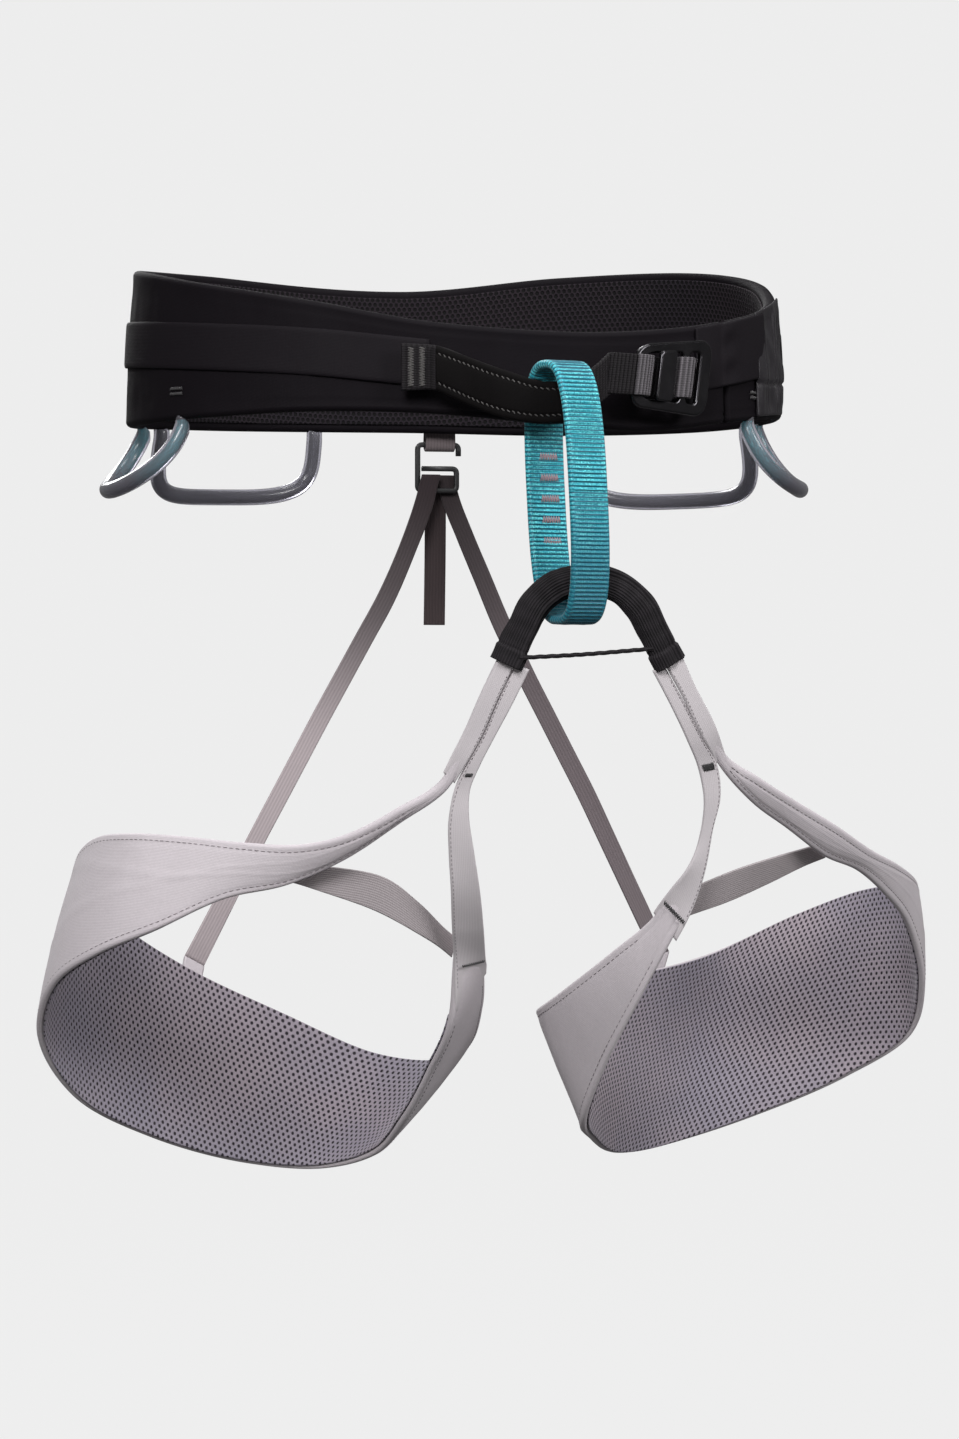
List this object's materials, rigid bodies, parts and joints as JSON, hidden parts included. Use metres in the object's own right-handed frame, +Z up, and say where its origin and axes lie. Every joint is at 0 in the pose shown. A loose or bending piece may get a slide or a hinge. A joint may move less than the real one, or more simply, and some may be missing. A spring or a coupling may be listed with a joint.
{
  "type": "climbing harness",
  "caption": "Sit harness with a padded waist belt, a threaded buckle, tie-in loops, a webbing belay loop, padded mesh leg loops on risers, rear elastic straps and stiff gear loops.",
  "frame": {"origin": "inside the waist opening, in the middle plane of the belay loop and the rear hook, at the belt's middle height", "axes": "+Z up, front with the belay loop at -Y, and +X towards the buckle, which is the wearer's left"},
  "size_m": [0.3743, 0.2453, 0.3675],
  "materials": {
    "black_fabric": "matte woven nylon",
    "black_mesh": "hexagonal spacer mesh",
    "grey_foam": "closed-cell foam",
    "black_webbing": "ribbed webbing",
    "mauve_fabric": "smooth woven nylon",
    "mauve_mesh": "perforated spacer mesh",
    "pale_webbing": "flat woven webbing",
    "taupe_elastic": "ribbed elastic tape",
    "teal_webbing": "ribbed tubular webbing",
    "black_metal": "satin black anodised metal",
    "black_plastic": "moulded nylon",
    "smoke_plastic": "translucent smoke-grey tube",
    "label_cloth": "blank woven label"
  },
  "bodies": {
    "waist": {"waist_shell": "black_fabric", "waist_foam": "grey_foam", "waist_liner": "black_mesh", "waist_webbing": "black_webbing", "right_wing": "black_webbing", "size_label": "label_cloth", "tie_in_webbing": "black_webbing", "tie_in_guard": "black_fabric", "lower_tie_in_webbing": "pale_webbing", "lower_tie_in_sleeve": "black_fabric", "keeper_cord": "black_fabric", "buckle_frame": "black_metal", "buckle_strap": "black_webbing", "buckle_tail": "black_webbing", "buckle_anchor": "black_webbing", "rear_tab": "taupe_elastic", "drop_seat_hook": "black_plastic", "rear_elastic_left": "taupe_elastic", "rear_elastic_right": "taupe_elastic"},
    "belay": {"belay_loop": "teal_webbing"},
    "lock_bar": {"buckle_lock_bar": "black_metal"},
    "rack_left_front": {"gear_loop_left_front": "smoke_plastic"},
    "rack_left_rear": {"gear_loop_left_rear": "smoke_plastic"},
    "rack_right_front": {"gear_loop_right_front": "smoke_plastic"},
    "rack_right_rear": {"gear_loop_right_rear": "smoke_plastic"},
    "left_leg": {"left_leg_shell": "mauve_fabric", "left_leg_foam": "grey_foam", "left_leg_liner": "mauve_mesh", "left_outer_riser": "pale_webbing", "left_inner_strap": "pale_webbing", "left_leg_elastic": "taupe_elastic", "left_rear_anchor": "mauve_fabric"},
    "right_leg": {"right_leg_shell": "mauve_fabric", "right_leg_foam": "grey_foam", "right_leg_liner": "mauve_mesh", "right_outer_riser": "pale_webbing", "right_inner_strap": "pale_webbing", "right_leg_elastic": "taupe_elastic", "right_rear_anchor": "mauve_fabric"},
    "tail": {"rear_tail": "taupe_elastic"}
  },
  "joints": [
    {"name": "belay_loop_twist", "type": "hinge", "parent": "waist", "child": "belay", "pos_m": [-0.0058, -0.1206, -0.0627], "axis": [0, 0, 1], "range_deg": [-15, 6]},
    {"name": "lock_bar_tilt", "type": "hinge", "parent": "waist", "child": "lock_bar", "pos_m": [0.03473, -0.1033, -0.0168], "axis": [-0.1392, -0.0512, -0.9889], "range_deg": [0, 40]},
    {"name": "left_front_rack_swing", "type": "hinge", "parent": "waist", "child": "rack_left_front", "pos_m": [-0.13735, -0.0015, -0.03489], "axis": [-0.0239, 0.9997, 0.0094], "range_deg": [-10, 40], "stiffness_Nm_per_rad": 0.05},
    {"name": "left_rear_rack_swing", "type": "hinge", "parent": "waist", "child": "rack_left_rear", "pos_m": [-0.09208, 0.06964, -0.03262], "axis": [0.872, 0.489, 0.0238], "range_deg": [-10, 40], "stiffness_Nm_per_rad": 0.05},
    {"name": "right_front_rack_swing", "type": "hinge", "parent": "waist", "child": "rack_right_front", "pos_m": [0.09827, -0.02326, -0.03257], "axis": [-0.3552, -0.9339, -0.0415], "range_deg": [-10, 40], "stiffness_Nm_per_rad": 0.05},
    {"name": "right_rear_rack_swing", "type": "hinge", "parent": "waist", "child": "rack_right_rear", "pos_m": [0.08197, 0.04773, -0.03165], "axis": [0.6717, -0.7407, 0.0086], "range_deg": [-10, 40], "stiffness_Nm_per_rad": 0.05},
    {"name": "left_leg_swing", "type": "hinge", "parent": "waist", "child": "left_leg", "pos_m": [-0.026, -0.1175, -0.126], "axis": [-1, 0, 0], "range_deg": [-6, 30], "stiffness_Nm_per_rad": 1, "springref_deg": -3.27, "deforming": ["rear_elastic_left"]},
    {"name": "right_leg_swing", "type": "hinge", "parent": "waist", "child": "right_leg", "pos_m": [0.0345, -0.1175, -0.126], "axis": [-1, 0, 0], "range_deg": [-6, 30], "stiffness_Nm_per_rad": 1, "springref_deg": -3.27, "deforming": ["rear_elastic_right"]},
    {"name": "tail_swing", "type": "hinge", "parent": "waist", "child": "tail", "pos_m": [-0.0005, 0.105, -0.047], "axis": [1, 0, 0], "range_deg": [0, 50]}
  ]
}
